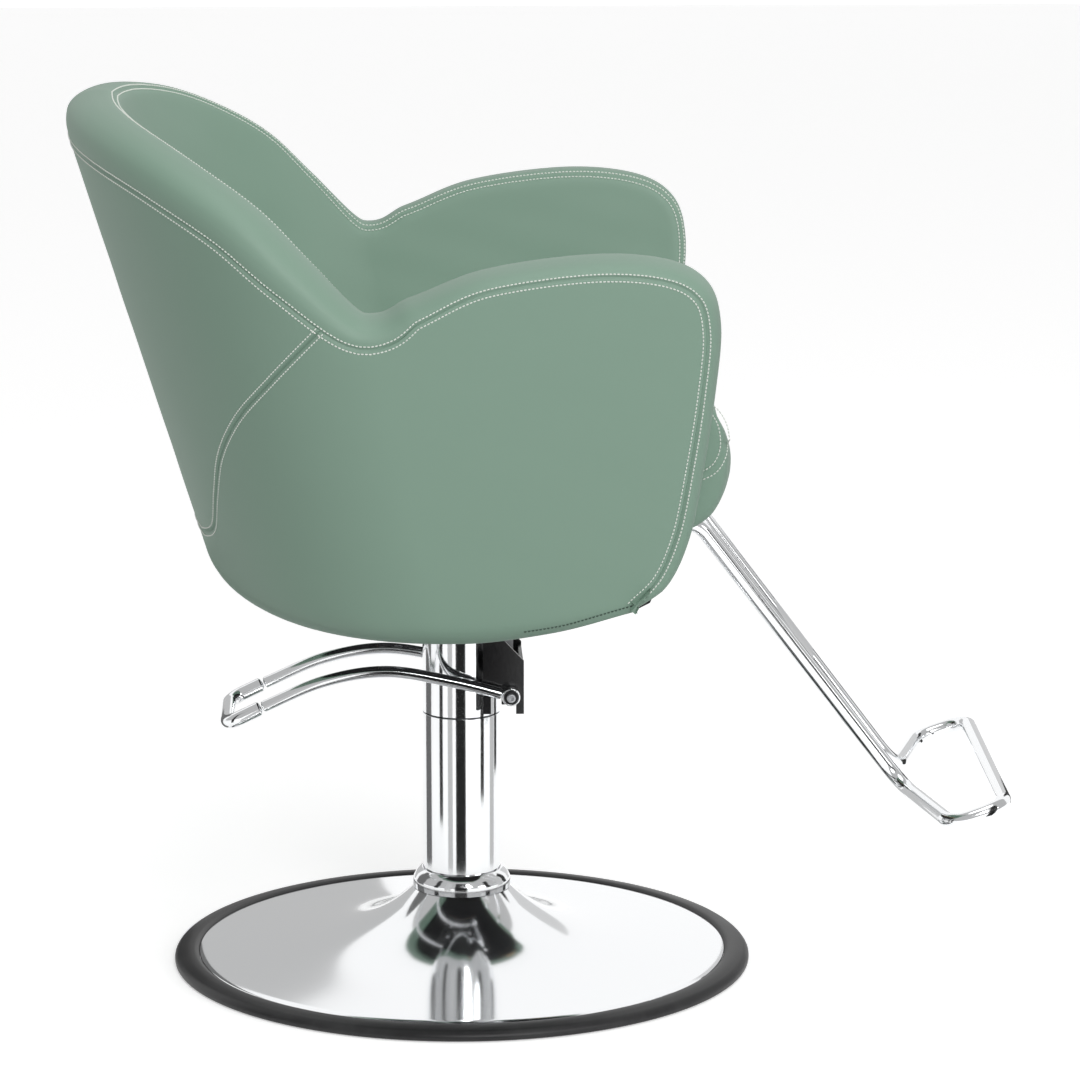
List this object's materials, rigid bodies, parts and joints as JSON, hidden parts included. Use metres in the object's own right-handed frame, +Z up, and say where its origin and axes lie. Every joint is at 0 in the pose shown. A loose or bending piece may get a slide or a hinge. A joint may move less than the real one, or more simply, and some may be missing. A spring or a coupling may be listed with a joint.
{
  "type": "salon styling chair",
  "caption": "Hydraulic salon chair with an upholstered tub, loose seat cushion, U-shaped pump lever, tubular footrest loop and a round disc base that swivels and lifts.",
  "frame": {"origin": "on the pump column's axis at floor level", "axes": "+Z up, +X the way the sitter faces, +Y to the sitter's left; lift at its lowest, lever released"},
  "size_m": [0.9499, 0.6816, 0.912],
  "materials": {
    "leather": "matt fine grain",
    "chrome": "polished",
    "steel": "satin",
    "black_paint": "gloss",
    "rubber": "satin",
    "plywood": "raw",
    "lining": "matt"
  },
  "bodies": {
    "base": {"base_plate": "steel", "base_cover": "chrome", "base_rim": "rubber", "column_collar": "chrome", "pump_cylinder": "steel", "gland_ring": "steel", "lower_sleeve": "chrome", "flange_bolt_1": "steel", "flange_bolt_2": "steel", "flange_bolt_3": "steel", "flange_bolt_4": "steel"},
    "ram": {"ram": "chrome", "ram_seal": "rubber", "thrust_washer": "steel", "plunger_spring": "steel"},
    "plunger": {"plunger_pin": "steel"},
    "seat": {"head_casting": "black_paint", "head_bolt_1": "steel", "head_bolt_2": "steel", "head_bolt_3": "steel", "head_bolt_4": "steel", "upper_sleeve": "chrome", "seat_plate": "black_paint", "seat_board": "plywood", "bottom_cover": "lining", "front_rail": "plywood", "rear_rail": "plywood", "side_rail_left": "plywood", "side_rail_right": "plywood", "seat_deck": "plywood", "lever_bracket": "black_paint", "axle_bush": "chrome", "return_spring": "steel", "footrest_tube": "chrome", "footrest_bracket": "steel", "footrest_bolt_1": "steel", "footrest_bolt_2": "steel", "footrest_bolt_3": "steel", "footrest_bolt_4": "steel", "front_apron": "leather", "rim_band": "leather", "outer_back_pad": "leather", "outer_side_pad_left": "leather", "outer_side_pad_right": "leather", "tub_shell": "plywood", "inner_back_pad": "leather", "inner_side_pad_left": "leather", "inner_side_pad_right": "leather", "seat_cushion": "leather"},
    "lever": {"lever_rod_left": "chrome", "lever_rod_right": "chrome", "lever_handle": "chrome", "lever_axle": "steel", "hub_washer_left": "rubber", "hub_washer_right": "rubber", "hub_bolt_left": "steel", "hub_bolt_right": "steel", "pump_rocker": "steel"}
  },
  "joints": [
    {"name": "lift", "type": "slide", "parent": "base", "child": "ram", "axis": [0, 0, 1], "range_m": [0, 0.15]},
    {"name": "swivel", "type": "hinge", "parent": "ram", "child": "seat", "pos_m": [0, 0, 0], "axis": [0, 0, 1], "continuous": true},
    {"name": "lever_press", "type": "hinge", "parent": "seat", "child": "lever", "pos_m": [0.05, 0, 0.292], "axis": [0, -1, 0], "range_deg": [0, 22], "stiffness_Nm_per_rad": 2.5, "springref_deg": -51.57},
    {"name": "plunger_press", "type": "slide", "parent": "ram", "child": "plunger", "axis": [0, 0, -1], "range_m": [0, 0.0205], "stiffness_N_per_m": 150, "springref_m": -0.02, "deforming": ["plunger_spring"]}
  ],
  "couplings": [
    {"joint": "plunger_press", "follows": "lever_press", "m_per_rad": 0.0518}
  ]
}
